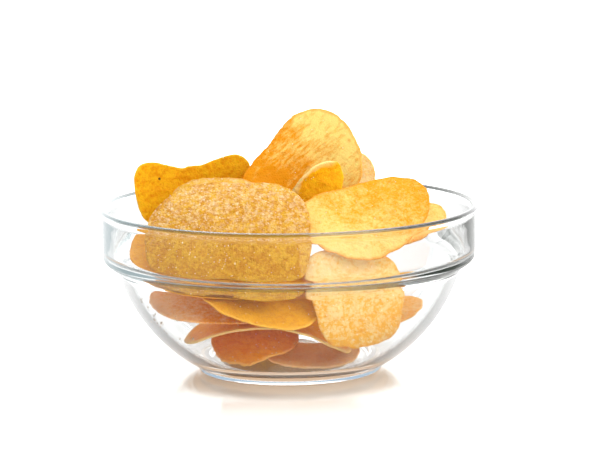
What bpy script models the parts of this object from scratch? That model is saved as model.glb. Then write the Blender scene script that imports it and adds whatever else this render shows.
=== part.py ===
"""A clear glass bowl filled with a loose heap of potato crisps.

Frame: metres, +Z up, origin on the table under the bowl's centre. -Y is the front.
The bowl is one turned glass. Each crisp is one thin curved slice, an object of its own.
The lists of sizes below are in millimetres and degrees; the objects are built in metres.
"""

import math
from collections import namedtuple

import bpy
import numpy as np
from mathutils.bvhtree import BVHTree

MM = 0.001

# The bowl.
BOWL_RADIUS = 71.5
BOWL_HEIGHT = 63.0
RIM_WALL = 2.8  # thickness of the rounded rim
COLLAR_TAPER = 0.9  # how far the upright collar draws in below the rim
BAND_TOP = 50.5  # the stacking band round the collar's foot
BAND_BOTTOM = 43.0
BAND_RADIUS = 70.3
BAND_CROWN = 0.2  # how far the band's middle swells
BAND_STEP = 1.0  # height of the slope from the collar out to the band
BAND_UNDERCUT = 1.6  # height of the slope from the band in to the body
BODY_ARC = 62.0  # radius of the body's curve in profile
BODY_SLOPES = (28.0, 74.0)  # its slope at the foot and under the band
FOOT_RADIUS = 34.6
FOOT_ROUNDING = 1.4
WALL = 3.0
FLOOR = 5.0  # thickness of the floor
FLOOR_RADIUS = 29.0
FLOOR_SLOPE = 33.0  # slope of the inside where it leaves the floor's hollow
FLOOR_FILLET = (4.0, 0.45)  # run and rise of the fillet between the floor and the wall
LEDGE_DEPTH = 2.2  # how far the stacking ledge stands in behind the band
LEDGE_RISE = 1.5  # its height above the band's lower edge
COLLAR_INSET = 0.8  # how far the collar's inside stands in above the ledge
TURN_STEPS = 48

# The crisps.
THICKNESS = 1.5
CLEARANCE = 0.45  # air left between neighbours
SEGMENTS = 24
RINGS = (0.38, 0.72, 1.0)  # where the grid's rings lie, from the middle to the edge

# How the heap settles.
SETTLE_ROUNDS = 120
SETTLE_DEPTH = 4.0  # how deep a point may start inside its neighbour and still be moved out
STIFFNESS = 0.15  # how far a crisp returns to its own shape each round
HOLD = 0.1  # how far it returns to its first place in the first round, fading to none
YIELD = 0.5  # the share of an overlap that each of the two crisps gives way in a round
DRIFT = 0.5  # how far the whole crisp follows the mean of its points' moves
FACE_ON = 0.85  # a nearest point counts as on a face, not an edge, above this cosine

GLASS = ("glass", (0.86, 0.92, 0.92), 0.05)
FRIED = ("fried_potato", (0.93, 0.58, 0.13), 0.55)

# One crisp. centre is where its middle lies. facing is the azimuth (0 to the front, + to the
# right) and the elevation of the side that counts as its face. spin turns it about that
# direction. reaches run from the middle to the edge, evenly spaced anticlockwise from its right
# as its face is seen. sag is how far its right and left ends, its upper and lower ends, and its
# upper right corner (against the upper left) stand towards its face.
Crisp = namedtuple("Crisp", "name centre facing spin reaches sag")

CRISPS = (
    # The bottom of the bowl.
    Crisp("crisp_floor", (9, -15, 7.5), (0, 86), 0, (17, 16, 12, 17, 19, 20, 17, 18), (2, 1, 0)),
    Crisp("crisp_low_front", (-15, -22, 14), (-4, 58), 0, (17, 18, 17, 17, 15, 15, 15, 12),
          (-2, 0, 1)),
    Crisp("crisp_low_back", (-4, 20, 16), (180, 62), 10, (24, 25, 20, 23, 25, 22, 18, 22),
          (3, 1, 2)),
    Crisp("crisp_low_right", (27, -9, 18), (-60, 74), 0, (15, 20, 24, 16, 16, 15, 15, 14),
          (1, 2, 0)),
    Crisp("crisp_arch", (-8, -20, 24), (70, 86), -70, (32, 25, 20, 24, 30, 26, 19, 23),
          (-12, 0, 0)),
    # The middle of the heap.
    Crisp("crisp_under_ledge", (-24, -24, 31), (0, 66), 0, (24, 22, 20, 24, 29, 22, 18, 20),
          (-3, 0, 0)),
    Crisp("crisp_low_inner", (16, 18, 27), (165, 66), 0, (22, 24, 20, 22, 24, 22, 18, 22),
          (4, 0, 2)),
    Crisp("crisp_ledge", (-7, -28, 35), (24, 58), 0, (22, 23, 21, 22, 27, 22, 22, 21), (2, 1, 1)),
    Crisp("crisp_shelf", (-25, -24, 44), (-4, 62), 0, (30, 27, 22, 30, 36, 31, 23, 26), (3, 1, 1)),
    Crisp("crisp_front_right", (23, -39, 32), (10, 12), 0, (20, 21, 18, 21, 14, 16, 16, 19),
          (-3, -2, 1)),
    Crisp("crisp_inner_left", (-24, 18, 35), (200, 74), 0, (22, 23, 20, 22, 24, 22, 20, 20),
          (3, 2, -2)),
    Crisp("crisp_inner_right", (20, 16, 40), (150, 80), 20, (22, 21, 20, 22, 24, 21, 19, 20),
          (3, 1, 1)),
    Crisp("crisp_right_tip", (34, -8, 50), (-16, 56), 12, (24, 25, 18, 20, 20, 18, 14, 10),
          (2, -1, 0)),
    Crisp("crisp_inner_back", (-4, 40, 46), (185, 52), 0, (24, 22, 14, 20, 25, 22, 16, 22),
          (5, 2, 1)),
    # The top of the heap.
    Crisp("crisp_centre", (2, 10, 50), (0, 80), 0, (22, 22, 17, 20, 21, 19, 17, 20), (3, 2, 1)),
    Crisp("crisp_right", (27, -25, 60), (-8, 48), 0, (24, 26, 19, 19, 24, 21, 19, 20), (3, -1, 1)),
    Crisp("crisp_behind_front", (-27, -20, 58), (-4, 32), 0, (16, 23, 21, 23, 14, 15, 14, 16),
          (-3, -5, 0)),
    Crisp("crisp_front", (-22, -36, 54), (-4, 32), 0,
          (30, 31, 33, 30, 27, 29, 31, 32, 31, 29, 24, 19, 17, 22, 28, 30), (-3, -7, 0)),
    Crisp("crisp_back_left", (-37, 6, 60), (10, 6), 0,
          (16, 22, 28, 20, 17, 18, 26, 24, 20, 16, 17, 16, 14, 15, 15, 13), (5, 2, 1)),
    Crisp("crisp_back", (6, 33, 58), (178, 36), 0, (23, 21, 15, 19, 23, 21, 18, 20), (5, 1, 1)),
    Crisp("crisp_peak_back", (17, 20, 66), (12, 10), 0, (16, 17, 11, 13, 16, 15, 12, 15), (4, 1, 0)),
    Crisp("crisp_peak", (6, 2.5, 77), (0, 15), 0, (22, 22, 20, 15, 20, 26, 18, 20), (6, 6, 0)),
    Crisp("crisp_curl", (5, -9, 67.5), (8, -4), 38, (18, 10, 5, 8, 17, 10, 7, 10), (1, 5, 0)),
)


def arc(centre, radius, start, end, steps):
    """Points on an arc, from one angle to another."""
    angles = np.radians(np.linspace(start, end, steps))
    return [(centre[0] + radius * math.cos(a), centre[1] + radius * math.sin(a)) for a in angles]


def body_curve(radius, slopes, steps):
    """The body's curve in profile, on the arc that leaves the foot at its slope."""
    leave = math.radians(BODY_SLOPES[0])
    centre = (FOOT_RADIUS - BODY_ARC * math.sin(leave),
              FOOT_ROUNDING + BODY_ARC * math.cos(leave))
    return arc(centre, radius, slopes[0] - 90, slopes[1] - 90, steps)


def rim_arc(start, end, steps):
    """Part of the rim's round edge."""
    half = RIM_WALL / 2
    return arc((BOWL_RADIUS - half, BOWL_HEIGHT - half), half, start, end, steps)


def outer_profile():
    """The outside of the glass, from the rim's crown down to the foot's centre."""
    collar = [(BOWL_RADIUS - COLLAR_TAPER, BAND_TOP + BAND_STEP)]
    band = [(BAND_RADIUS, BAND_TOP),
            (BAND_RADIUS + BAND_CROWN, (BAND_TOP + BAND_BOTTOM) / 2),
            (BAND_RADIUS - 2 * BAND_CROWN, BAND_BOTTOM)]
    body = body_curve(BODY_ARC, BODY_SLOPES, 8)
    underside = [((BAND_RADIUS + body[-1][0]) / 2, BAND_BOTTOM - BAND_UNDERCUT)]
    centre = (FOOT_RADIUS - FOOT_ROUNDING / 2, FOOT_ROUNDING)
    foot = arc(centre, FOOT_ROUNDING, -50, -90, 2)
    return rim_arc(90, 0, 4) + collar + band + underside + body[::-1] + foot + [(0.0, 0.0)]


def inner_profile():
    """The inside of the glass, from the floor's centre up to the rim's crown."""
    body = body_curve(BODY_ARC - WALL, (FLOOR_SLOPE, BODY_SLOPES[1]), 7)
    run, rise = FLOOR_FILLET
    floor = [(0.0, FLOOR), (FLOOR_RADIUS, FLOOR), (FLOOR_RADIUS + run, FLOOR + rise)]
    inside = BAND_RADIUS - WALL
    ledge = [(inside - LEDGE_DEPTH, BAND_BOTTOM + LEDGE_RISE)]
    collar = [(inside - COLLAR_INSET, BAND_TOP - BAND_STEP)]
    return floor + body + ledge + collar + rim_arc(180, 120, 3)


def paint(obj, look):
    """Gives an object its own plain material."""
    name, colour, roughness = look
    material = bpy.data.materials.new(f"{obj.name}_{name}")
    material.use_nodes = True
    shader = material.node_tree.nodes["Principled BSDF"]
    shader.inputs["Base Color"].default_value = (*colour, 1.0)
    shader.inputs["Roughness"].default_value = roughness
    shader.inputs["Metallic"].default_value = 0.0
    obj.data.materials.append(material)


def make_bowl():
    """The turned glass bowl: its wall's outline, swept once round the upright axis."""
    outside, inside = outer_profile(), inner_profile()
    points = [(r * MM, 0.0, z * MM) for r, z in outside + inside]
    axis_gap = len(outside) - 1
    edges = [(i, i + 1) for i in range(len(points) - 1) if i != axis_gap]
    edges.append((len(points) - 1, 0))
    mesh = bpy.data.meshes.new("bowl")
    mesh.from_pydata(points, edges, [])
    bowl = bpy.data.objects.new("bowl", mesh)
    bpy.context.scene.collection.objects.link(bowl)
    turn = bowl.modifiers.new("Turn", "SCREW")
    turn.steps = turn.render_steps = TURN_STEPS
    turn.use_merge_vertices = True
    turn.merge_threshold = 0.00005
    turn.use_smooth_shade = True
    paint(bowl, GLASS)


def grid_directions():
    """The grid of a slice as ring and angle of each point, the middle first."""
    ring = np.repeat(RINGS, SEGMENTS)
    angle = np.tile(np.arange(SEGMENTS) * (2 * math.pi / SEGMENTS), len(RINGS))
    return np.append(0.0, ring), np.append(0.0, angle)


def smooth_reach(reaches, angle):
    """Distance from the middle to the edge at each angle, on a smooth closed curve."""
    waves = np.fft.rfft(reaches) / len(reaches)
    total = np.full_like(angle, waves[0].real)
    for k in range(1, len(waves)):
        weight = 1.0 if 2 * k == len(reaches) else 2.0
        total += weight * (waves[k].real * np.cos(k * angle) - waves[k].imag * np.sin(k * angle))
    return total


def slice_points(shape):
    """The middle surface of one crisp, where it lies in the heap."""
    ring, angle = grid_directions()
    reach = ring * smooth_reach(shape.reaches, angle)
    u, v = reach * np.cos(angle), reach * np.sin(angle)
    ends, tips, corner = shape.sag
    p, q = u / np.abs(u).max(), v / np.abs(v).max()
    rise = ends * p**2 + tips * q**2 + corner * p * q
    azimuth, elevation, spin = (math.radians(a) for a in (*shape.facing, shape.spin))
    face = np.array([math.sin(azimuth) * math.cos(elevation),
                     -math.cos(azimuth) * math.cos(elevation), math.sin(elevation)])
    right = np.array([math.cos(azimuth), math.sin(azimuth), 0.0])
    above = np.cross(face, right)
    along = right * math.cos(spin) + above * math.sin(spin)
    return np.array(shape.centre) + np.stack([u, v, rise], axis=1) @ np.stack(
        [along, np.cross(face, along), face])


def slice_faces():
    """The faces of a slice's grid: a fan at the middle, then rings of quads."""
    n = SEGMENTS
    faces = [(0, 1 + i, 1 + (i + 1) % n) for i in range(n)]
    for ring in range(len(RINGS) - 1):
        inner, outer = 1 + ring * n, 1 + (ring + 1) * n
        faces += [(inner + i, outer + i, outer + (i + 1) % n, inner + (i + 1) % n)
                  for i in range(n)]
    return faces


def sample_weights(faces):
    """Weights that turn a grid's points into test points: itself, face and edge middles."""
    count = 1 + SEGMENTS * len(RINGS)
    first = count - SEGMENTS
    edges = [(first + i, first + (i + 1) % SEGMENTS) for i in range(SEGMENTS)]
    middles = np.zeros((len(faces) + len(edges), count))
    for row, corners in zip(middles, faces + edges):
        row[list(corners)] = 1.0 / len(corners)
    return np.vstack([np.eye(count), middles])


def blur_weights(faces):
    """Weights that move each point of the grid half way to the mean of its neighbours."""
    count = 1 + SEGMENTS * len(RINGS)
    joined = np.zeros((count, count))
    for corners in faces:
        for i in corners:
            joined[i, list(corners)] = 1.0
    np.fill_diagonal(joined, 0.0)
    return (np.eye(count) + joined / joined.sum(axis=1)[:, None]) / 2


def spread(push, weights):
    """Shares out the moves of the test points among the grid's points."""
    moved = (np.linalg.norm(push, axis=1) > 0).astype(float)
    total = weights.T @ moved
    return (weights.T @ push) / np.maximum(total, 1.0)[:, None]


def nearest_offsets(samples, tree, depth):
    """The test points near the other slice: index, gap from it, its normal, distance."""
    found = []
    for i, point in enumerate(samples.tolist()):
        spot, normal, _, distance = tree.find_nearest(point, depth)
        if spot is not None:
            gap = np.array(point) - np.array(spot)
            found.append((i, gap, np.array(normal), distance))
    return found


def side_of(samples, tree):
    """Which side of the other slice most of this one lies on: 1 on its face, else -1."""
    found = nearest_offsets(samples, tree, 2 * BOWL_RADIUS)
    heights = [gap @ normal for _, gap, normal, distance in found
               if abs(gap @ normal) > FACE_ON * distance]
    return math.copysign(1.0, sum(heights))


def push_out(samples, at_edge, tree, side):
    """The moves that take the test points clear of the other slice.

    A point at this slice's edge returns to the side where most of the slice lies. Any other
    point stays on the side where it is, since there the other slice's edge does the poking.
    """
    need = THICKNESS + CLEARANCE
    push = np.zeros_like(samples)
    for i, gap, normal, distance in nearest_offsets(samples, tree, SETTLE_DEPTH):
        height = gap @ normal
        if abs(height) > FACE_ON * distance:
            own_side = side if at_edge[i] else math.copysign(1.0, height)
            lack = need - own_side * height
            way = own_side * normal
        else:
            lack = need - distance
            way = gap / max(distance, 0.001)
        if lack > 0:
            push[i] = way * lack
    return push


def rigid_copy(start, now):
    """The starting shape, turned and moved to lie best on the present one."""
    middle_start, middle_now = start.mean(axis=0), now.mean(axis=0)
    u, _, vt = np.linalg.svd((start - middle_start).T @ (now - middle_now))
    flip = np.diag([1.0, 1.0, np.sign(np.linalg.det(u @ vt))])
    return (start - middle_start) @ (u @ flip @ vt) + middle_now


def glass_limit():
    """The inside of the glass drawn in by half a crisp and its clearance: radii and heights."""
    profile = np.array(inner_profile())
    run = np.gradient(profile, axis=0)
    inward = np.stack([-run[:, 1], run[:, 0]], axis=1)
    inward /= np.linalg.norm(inward, axis=1)[:, None]
    drawn = profile + inward * (THICKNESS / 2 + CLEARANCE)
    drawn[0, 0] = 0.0
    return drawn[:-2]


def keep_in_glass(points, limit):
    """The points, with those beyond the limit moved back square to the wall."""
    radius = np.hypot(points[:, 0], points[:, 1])
    height = points[:, 2]
    over = radius - np.interp(height, limit[:, 1], limit[:, 0])
    under = np.interp(radius, limit[:, 0], limit[:, 1]) - height
    out = (over > 0) & ((under > 0) | (height > limit[-1, 1]))
    over, under = np.where(out, over, 0.0), np.where(out, np.maximum(under, 0.0), 0.0)
    steep = np.hypot(over, under) + 1e-9
    inward = np.where(height > limit[-1, 1], over, over * under**2 / steep**2)
    upward = under * over**2 / steep**2
    scale = 1.0 - inward / np.maximum(radius, 1.0)
    moved = points * np.stack([scale, scale, np.ones_like(scale)], axis=1)
    moved[:, 2] = np.maximum(height + upward, limit[0, 1])
    return moved


def settle(sheets):
    """Moves the slices apart until none passes through another or through the glass."""
    faces = slice_faces()
    weights = sample_weights(faces)
    blur = blur_weights(faces)
    at_edge = weights[:, -SEGMENTS:].sum(axis=1) > 0.99
    limit = glass_limit()
    starts = [sheet.copy() for sheet in sheets]
    sides = {}
    for turn in range(SETTLE_ROUNDS):
        hold = HOLD * max(0.0, 1.0 - 2.0 * turn / SETTLE_ROUNDS)
        trees = [BVHTree.FromPolygons(sheet.tolist(), faces) for sheet in sheets]
        boxes = [(sheet.min(axis=0) - SETTLE_DEPTH, sheet.max(axis=0) + SETTLE_DEPTH)
                 for sheet in sheets]
        moves = []
        for k, sheet in enumerate(sheets):
            samples = weights @ sheet
            move = np.zeros_like(sheet)
            for j, tree in enumerate(trees):
                apart = (boxes[k][0] > boxes[j][1]) | (boxes[j][0] > boxes[k][1])
                if j == k or apart.any():
                    continue
                if (k, j) not in sides:
                    sides[k, j] = side_of(samples, tree)
                move += YIELD * spread(push_out(samples, at_edge, tree, sides[k, j]), weights)
            moves.append(move)
        for k, sheet in enumerate(sheets):
            sheet += moves[k] + DRIFT * moves[k].mean(axis=0)
            own = rigid_copy(starts[k], sheet)
            sheet[:] = own + (1.0 - STIFFNESS) * (blur @ (sheet - own))
            sheet += hold * (starts[k] - sheet)
            sheet[:] = keep_in_glass(sheet, limit)
    return sheets


def build_crisp(shape, points):
    """One crisp: its middle surface, thickened evenly to both sides."""
    mesh = bpy.data.meshes.new(shape.name)
    mesh.from_pydata((points * MM).tolist(), [], slice_faces())
    mesh.shade_smooth()
    obj = bpy.data.objects.new(shape.name, mesh)
    bpy.context.scene.collection.objects.link(obj)
    solid = obj.modifiers.new("Thickness", "SOLIDIFY")
    solid.thickness = THICKNESS * MM
    solid.offset = 0.0
    paint(obj, FRIED)


def main():
    """Empties the scene and builds the bowl and its crisps."""
    for obj in list(bpy.data.objects):
        bpy.data.objects.remove(obj)
    make_bowl()
    sheets = settle([slice_points(shape) for shape in CRISPS])
    for shape, points in zip(CRISPS, sheets):
        build_crisp(shape, points)


if __name__ == "__main__":
    main()
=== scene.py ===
"""Looks of a clear glass bowl heaped with potato crisps.

Each crisp grows from its CAD solid: the solid's middle surface is read back as a hub with
rings of points, smoothed, and given a fine skin with a rounded rim, blisters and waves. The
bowl is turned again from its own section at a fine step. Sizes are in millimetres unless a
name says otherwise; objects are built in metres, in the CAD frame (+Z up, -Y the front).
"""

import logging
import math
from dataclasses import dataclass, field
from enum import Enum

import bmesh
import bpy
import numpy as np
from mathutils import Matrix, Vector


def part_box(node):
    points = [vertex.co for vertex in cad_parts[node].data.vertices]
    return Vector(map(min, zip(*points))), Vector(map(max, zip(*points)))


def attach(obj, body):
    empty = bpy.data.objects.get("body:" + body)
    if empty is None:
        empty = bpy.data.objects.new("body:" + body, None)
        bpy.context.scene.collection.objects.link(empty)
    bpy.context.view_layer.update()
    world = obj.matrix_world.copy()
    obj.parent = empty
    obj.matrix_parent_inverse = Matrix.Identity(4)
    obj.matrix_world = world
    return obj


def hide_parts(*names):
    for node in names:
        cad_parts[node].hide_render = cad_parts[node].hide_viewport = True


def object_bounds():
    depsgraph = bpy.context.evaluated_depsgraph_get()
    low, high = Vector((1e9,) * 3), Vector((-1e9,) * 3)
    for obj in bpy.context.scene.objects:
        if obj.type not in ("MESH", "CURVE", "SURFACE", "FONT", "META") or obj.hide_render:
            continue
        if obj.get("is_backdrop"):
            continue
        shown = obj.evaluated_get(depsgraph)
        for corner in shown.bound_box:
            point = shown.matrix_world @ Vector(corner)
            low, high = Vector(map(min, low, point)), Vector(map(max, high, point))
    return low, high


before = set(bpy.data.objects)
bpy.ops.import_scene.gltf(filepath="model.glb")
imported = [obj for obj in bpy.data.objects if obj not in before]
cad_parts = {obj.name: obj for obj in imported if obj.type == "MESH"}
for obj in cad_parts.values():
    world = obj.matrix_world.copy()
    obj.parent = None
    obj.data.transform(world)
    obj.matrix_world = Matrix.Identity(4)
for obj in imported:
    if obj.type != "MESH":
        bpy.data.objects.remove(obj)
CAD_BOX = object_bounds()

MM = 0.001
BODY = "root"
SLICE = "slice"  # attribute: a point's place on the flattened slice, in millimetres
RIM = "rim"  # attribute: distance to the slice's edge, in millimetres
BLISTER = "blister"  # attribute: how far a point stands up on a blister, 0 to 1
PATTERN_STEP = 37.0  # how far apart, in millimetres, two crisps lie in the patterns

Colour = tuple[float, float, float]
Socket = bpy.types.NodeSocket
Value = Socket | float | tuple[float, ...]  # what an input takes: a link or a plain value
Groups = dict[str, bpy.types.NodeTree]
log = logging.getLogger("crisps")


def rgba(colour: Colour) -> tuple[float, float, float, float]:
    """A colour with full opacity."""
    return (*colour, 1.0)


# ---------------------------------------------------------------------------------------
# Meshes
# ---------------------------------------------------------------------------------------


def spline_weights(knots: np.ndarray, at: np.ndarray) -> np.ndarray:
    """Weights that turn values at knots into values of the natural cubic spline.

    Args:
        knots: Places of the known values, in rising order.
        at: Places where values are wanted.

    Returns:
        A row of weights for each wanted place.
    """
    count = len(knots)
    step = np.diff(knots)
    system, loads = np.eye(count), np.zeros((count, count))
    for i in range(1, count - 1):
        before, after = step[i - 1], step[i]
        system[i, i - 1 : i + 2] = before, 2 * (before + after), after
        loads[i, i - 1 : i + 2] = 6 / before, -6 / before - 6 / after, 6 / after
    bend = np.linalg.solve(system, loads)
    k = np.clip(np.searchsorted(knots, at) - 1, 0, count - 2)
    far = (at - knots[k]) / step[k]
    near = 1.0 - far
    weights = np.zeros((len(at), count))
    weights[np.arange(len(at)), k] = near
    weights[np.arange(len(at)), k + 1] = far
    pull = step[k] ** 2 / 6
    weights += ((near**3 - near) * pull)[:, None] * bend[k]
    weights += ((far**3 - far) * pull)[:, None] * bend[k + 1]
    return weights


def grid_faces(rows: int, columns: int, first: int) -> list[tuple[int, ...]]:
    """Quads between closed rings of points.

    Args:
        rows: Number of rings.
        columns: Points in each ring.
        first: Index of the first ring's first point.

    Returns:
        The faces, by point index.
    """
    faces = []
    for j in range(rows - 1):
        a, b = first + j * columns, first + (j + 1) * columns
        for i in range(columns):
            k = (i + 1) % columns
            faces.append((a + i, b + i, b + k, a + k))
    return faces


def make_object(name: str, points: np.ndarray, faces: list[tuple[int, ...]]) -> bpy.types.Object:
    """A smooth mesh object in the scene.

    Args:
        name: Name of the object and its mesh.
        points: Places of the vertices, in millimetres.
        faces: Faces by vertex index.

    Returns:
        The new object.
    """
    mesh = bpy.data.meshes.new(name)
    mesh.from_pydata((points * MM).tolist(), [], faces)
    mesh.shade_smooth()
    piece = bpy.data.objects.new(name, mesh)
    bpy.context.scene.collection.objects.link(piece)
    return piece


def write_attribute(piece: bpy.types.Object, name: str, values: np.ndarray) -> None:
    """Stores one number or one vector for each vertex.

    Args:
        piece: Object whose mesh gets the attribute.
        name: Name that materials read it by.
        values: One row for each vertex.
    """
    vector = values.ndim == 2
    kind = "FLOAT_VECTOR" if vector else "FLOAT"
    attribute = piece.data.attributes.new(name, kind, "POINT")
    attribute.data.foreach_set("vector" if vector else "value", values.astype(np.float32).ravel())


@dataclass
class Relief:
    """Smooth, seeded unevenness over a plane, the same on every run."""

    seed: int
    cells: int = 64

    def __post_init__(self) -> None:
        """Draws the table of heights."""
        self.table = np.random.default_rng(self.seed).uniform(-1, 1, (self.cells, self.cells))

    def at(self, u: np.ndarray, v: np.ndarray, size: float) -> np.ndarray:
        """Heights between -1 and 1.

        Args:
            u: Places along the plane's first axis.
            v: Places along its second axis.
            size: Distance between bumps.

        Returns:
            A height for each place.
        """
        x, y = u / size, v / size
        i, j = np.floor(x).astype(int), np.floor(y).astype(int)
        p, q = x - i, y - j
        p, q = p * p * (3 - 2 * p), q * q * (3 - 2 * q)
        n = self.cells
        low = self.table[i % n, j % n] * (1 - p) + self.table[(i + 1) % n, j % n] * p
        high = self.table[i % n, (j + 1) % n] * (1 - p) + self.table[(i + 1) % n, (j + 1) % n] * p
        return low * (1 - q) + high * q


# ---------------------------------------------------------------------------------------
# Shader helpers
# ---------------------------------------------------------------------------------------


class Shade:
    """A node tree with short ways to add and join its nodes."""

    def __init__(self, tree: bpy.types.NodeTree) -> None:
        """Takes the tree to work in."""
        self.tree = tree

    def node(self, kind: str, values: dict[str | int, Value] | None = None,
             **settings: object) -> bpy.types.Node:
        """Adds a node.

        Args:
            kind: Node type after the ShaderNode prefix.
            values: Input sockets by name or index, each a plain value or a socket to link.
            **settings: Properties of the node itself.

        Returns:
            The new node.
        """
        made = self.tree.nodes.new("ShaderNode" + kind)
        for name, value in settings.items():
            setattr(made, name, value)
        for key, value in (values or {}).items():
            self.feed(made.inputs[key], value)
        return made

    def feed(self, socket: Socket, value: Value) -> None:
        """Links a socket to another, or sets its plain value.

        Args:
            socket: The input to feed.
            value: The socket to link, or the plain value.
        """
        if isinstance(value, Socket):
            self.tree.links.new(value, socket)
        else:
            socket.default_value = value

    def maths(self, operation: str, *values: Value, clamp: bool = False) -> Socket:
        """The result of a Math node on sockets or numbers."""
        made = self.node("Math", dict(enumerate(values)), operation=operation, use_clamp=clamp)
        return made.outputs[0]

    def ramp(self, value: Value, start: Value, end: Value, low: Value = 0.0,
             high: Value = 1.0) -> Socket:
        """A smooth step of value from low at start to high at end."""
        made = self.node("MapRange", {"Value": value, "From Min": start, "From Max": end,
                                      "To Min": low, "To Max": high},
                         interpolation_type="SMOOTHSTEP")
        return made.outputs[0]

    def mix(self, factor: Value, first: Value, second: Value) -> Socket:
        """A mix of two colours."""
        made = self.node("Mix", {0: factor, 6: first, 7: second}, data_type="RGBA")
        return made.outputs[2]

    def parts(self, vector: Value) -> bpy.types.NodeOutputs:
        """The three parts of a vector."""
        return self.node("SeparateXYZ", {0: vector}).outputs

    def noise(self, where: Value, scale: float, detail: float = 2.0,
              roughness: float = 0.5) -> Socket:
        """A noise texture's value."""
        made = self.node("TexNoise", {"Vector": where, "Scale": scale, "Detail": detail,
                                      "Roughness": roughness})
        return made.outputs["Fac"]

    def group(self, tree: bpy.types.NodeTree, **values: Value) -> bpy.types.Node:
        """Places a node group with its own values.

        Args:
            tree: The group.
            **values: Its inputs, by name in small letters with _ for a space.

        Returns:
            The new node.
        """
        made = self.node("Group", node_tree=tree)
        for name, value in values.items():
            self.feed(made.inputs[name.replace("_", " ").capitalize()], value)
        return made


def new_group(name: str, inputs: dict[str, tuple[str, object]],
              outputs: dict[str, str]) -> tuple[Shade, bpy.types.Node, bpy.types.Node]:
    """An empty node group with named inputs and outputs.

    Args:
        name: Name of the group.
        inputs: Socket kind and default value of each input.
        outputs: Socket kind of each output.

    Returns:
        The group's tree to build in, its input node and its output node.
    """
    tree = bpy.data.node_groups.new(name, "ShaderNodeTree")
    for label, (kind, default) in inputs.items():
        socket = tree.interface.new_socket(label, in_out="INPUT", socket_type="NodeSocket" + kind)
        if default is not None:
            socket.default_value = default
    for label, kind in outputs.items():
        tree.interface.new_socket(label, in_out="OUTPUT", socket_type="NodeSocket" + kind)
    return Shade(tree), tree.nodes.new("NodeGroupInput"), tree.nodes.new("NodeGroupOutput")


BROAD_PATCHES = (0.1, 2.0, 1.2)  # bumps for each millimetre, detail and weight
MOTTLES = ((0.38, 2.0, 0.9), (0.95, 3.0, 1.0), (2.6, 2.0, 0.5))  # the same, finer
MOTTLE_EDGES = (0.36, 0.64)  # noise values between which a mottle goes from pale to deep


def cooked_and_shade_group() -> bpy.types.NodeTree:
    """Node group: pale and deep colours in patches, streaks and grain over a slice,
    deepened towards one side by Lean and Fall, which on some crisps is painted shade.

    Returns:
        The group.
    """
    shade, given, result = new_group("cooked_colour_and_painted_shade", {
        "Place": ("Vector", None),
        "Pale": ("Color", (1, 1, 1, 1)),
        "Deep": ("Color", (0.5, 0.5, 0.5, 1)),
        "Share": ("Float", 0.5),
        "Lean": ("Float", 0.0),
        "Fall": ("Float", 0.0),
        "Stretch": ("Float", 1.0),
        "Turn": ("Float", 0.0),
        "Grain": ("Float", 0.5),
    }, {"Colour": "Color"})
    take = given.outputs
    turned = shade.node("VectorRotate", {"Vector": take["Place"], "Angle": take["Turn"]},
                        rotation_type="Z_AXIS").outputs[0]
    along, across, apart = shade.parts(turned)
    drawn_out = shade.node("CombineXYZ", {0: shade.maths("DIVIDE", along, take["Stretch"]),
                                          1: across, 2: apart}).outputs[0]
    right, up, _ = shade.parts(take["Place"])
    # Lean and Fall deepen the colour towards one side, on some crisps as painted shade
    depth = shade.maths("MULTIPLY_ADD", up, take["Fall"], take["Share"])
    depth = shade.maths("MULTIPLY_ADD", right, take["Lean"], depth)
    scale, detail, weight = BROAD_PATCHES
    broad = shade.maths("SUBTRACT", shade.noise(drawn_out, scale, detail), 0.5)
    depth = shade.maths("MULTIPLY_ADD", broad, weight, depth)
    for scale, detail, weight in MOTTLES:
        mottle = shade.ramp(shade.noise(drawn_out, scale, detail, 0.6), *MOTTLE_EDGES,
                            -0.5 * weight, 0.5 * weight)
        depth = shade.maths("MULTIPLY_ADD", mottle, take["Grain"], depth)
    depth = shade.maths("ADD", depth, 0.0, clamp=True)
    shade.feed(result.inputs["Colour"], shade.mix(depth, take["Pale"], take["Deep"]))
    return shade.tree


def browning_group() -> bpy.types.NodeTree:
    """Node group: a browned line along a slice's edge, uneven in width.

    Returns:
        The group.
    """
    shade, given, result = new_group("rim_browning", {
        "Colour": ("Color", (1, 1, 1, 1)),
        "Brown": ("Color", (0.6, 0.3, 0.05, 1)),
        "Place": ("Vector", None),
        "Distance": ("Float", 0.0),
        "Width": ("Float", 1.0),
        "Strength": ("Float", 0.5),
    }, {"Colour": "Color"})
    take = given.outputs
    uneven = shade.maths("MULTIPLY_ADD", shade.noise(take["Place"], 0.3), 1.8, 0.1)
    width = shade.maths("MULTIPLY", take["Width"], uneven)
    nearness = shade.maths("SUBTRACT", 1.0, shade.maths("DIVIDE", take["Distance"], width),
                           clamp=True)
    mask = shade.maths("MULTIPLY", shade.maths("POWER", nearness, 0.7), take["Strength"])
    shade.feed(result.inputs["Colour"], shade.mix(mask, take["Colour"], take["Brown"]))
    return shade.tree


def freckle_group() -> bpy.types.NodeTree:
    """Node group: small round spots, some strong and some faint.

    Returns:
        The group.
    """
    shade, given, result = new_group("freckles", {
        "Place": ("Vector", None),
        "Per mm": ("Float", 0.5),
        "Radius": ("Float", 0.3),
        "Amount": ("Float", 0.5),
    }, {"Mask": "Float"})
    take = given.outputs
    bent = shade.node("TexNoise", {"Vector": take["Place"], "Scale": 0.8}).outputs["Color"]
    shifted = shade.node("VectorMath", {0: take["Place"], 1: bent}, operation="ADD").outputs[0]
    cells = shade.node("TexVoronoi", {"Vector": shifted, "Scale": take["Per mm"],
                                      "Randomness": 1.0})
    dot = shade.ramp(cells.outputs["Distance"], take["Radius"], 0.0)
    pick = shade.node("SeparateColor", {0: cells.outputs["Color"]}).outputs[0]
    chosen = shade.maths("LESS_THAN", pick, take["Amount"])
    shade.feed(result.inputs["Mask"], shade.maths("MULTIPLY", dot, chosen))
    return shade.tree


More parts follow.
